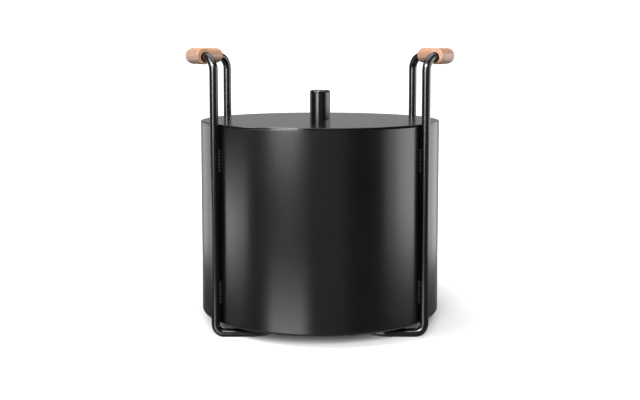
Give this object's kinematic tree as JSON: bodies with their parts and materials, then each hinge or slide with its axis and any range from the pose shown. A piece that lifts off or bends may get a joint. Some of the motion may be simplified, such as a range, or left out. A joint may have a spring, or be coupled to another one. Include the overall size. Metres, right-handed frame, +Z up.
{
  "type": "ash bucket",
  "caption": "Round lidded steel ash bucket on bent-rod side frames that form its feet and carry curved wooden grips.",
  "frame": {"origin": "on the floor, under the middle of the bucket", "axes": "+Z up, -Y towards the front of the picture, +X from the left grip to the right grip"},
  "size_m": [0.3242, 0.289, 0.3332],
  "materials": {
    "coated_steel": "satin black coating",
    "coated_lid": "satin black coating",
    "coated_rod": "satin black coating",
    "coated_knob": "satin black coating",
    "grip_wood": "oiled pale beech",
    "fastener_steel": "zinc plated"
  },
  "bodies": {
    "bucket": {"bucket_wall": "coated_steel", "bucket_bottom": "coated_steel", "wall_seam_weld": "coated_steel", "bottom_seam_weld": "coated_steel", "left_rod_frame": "coated_rod", "right_rod_frame": "coated_rod", "left_frame_welds": "coated_rod", "right_frame_welds": "coated_rod", "left_grip": "grip_wood", "right_grip": "grip_wood", "left_grip_washers": "fastener_steel", "right_grip_washers": "fastener_steel", "left_grip_screws": "fastener_steel", "right_grip_screws": "fastener_steel"},
    "lid": {"lid_plate": "coated_lid", "lid_ring": "coated_steel", "lid_ring_welds": "coated_steel", "lid_knob": "coated_knob", "knob_washer": "fastener_steel", "knob_screw": "fastener_steel"}
  },
  "joints": [
    {"name": "lid_lift", "type": "slide", "parent": "bucket", "child": "lid", "axis": [0, 0, 1], "range_m": [0, 0.06]}
  ]
}
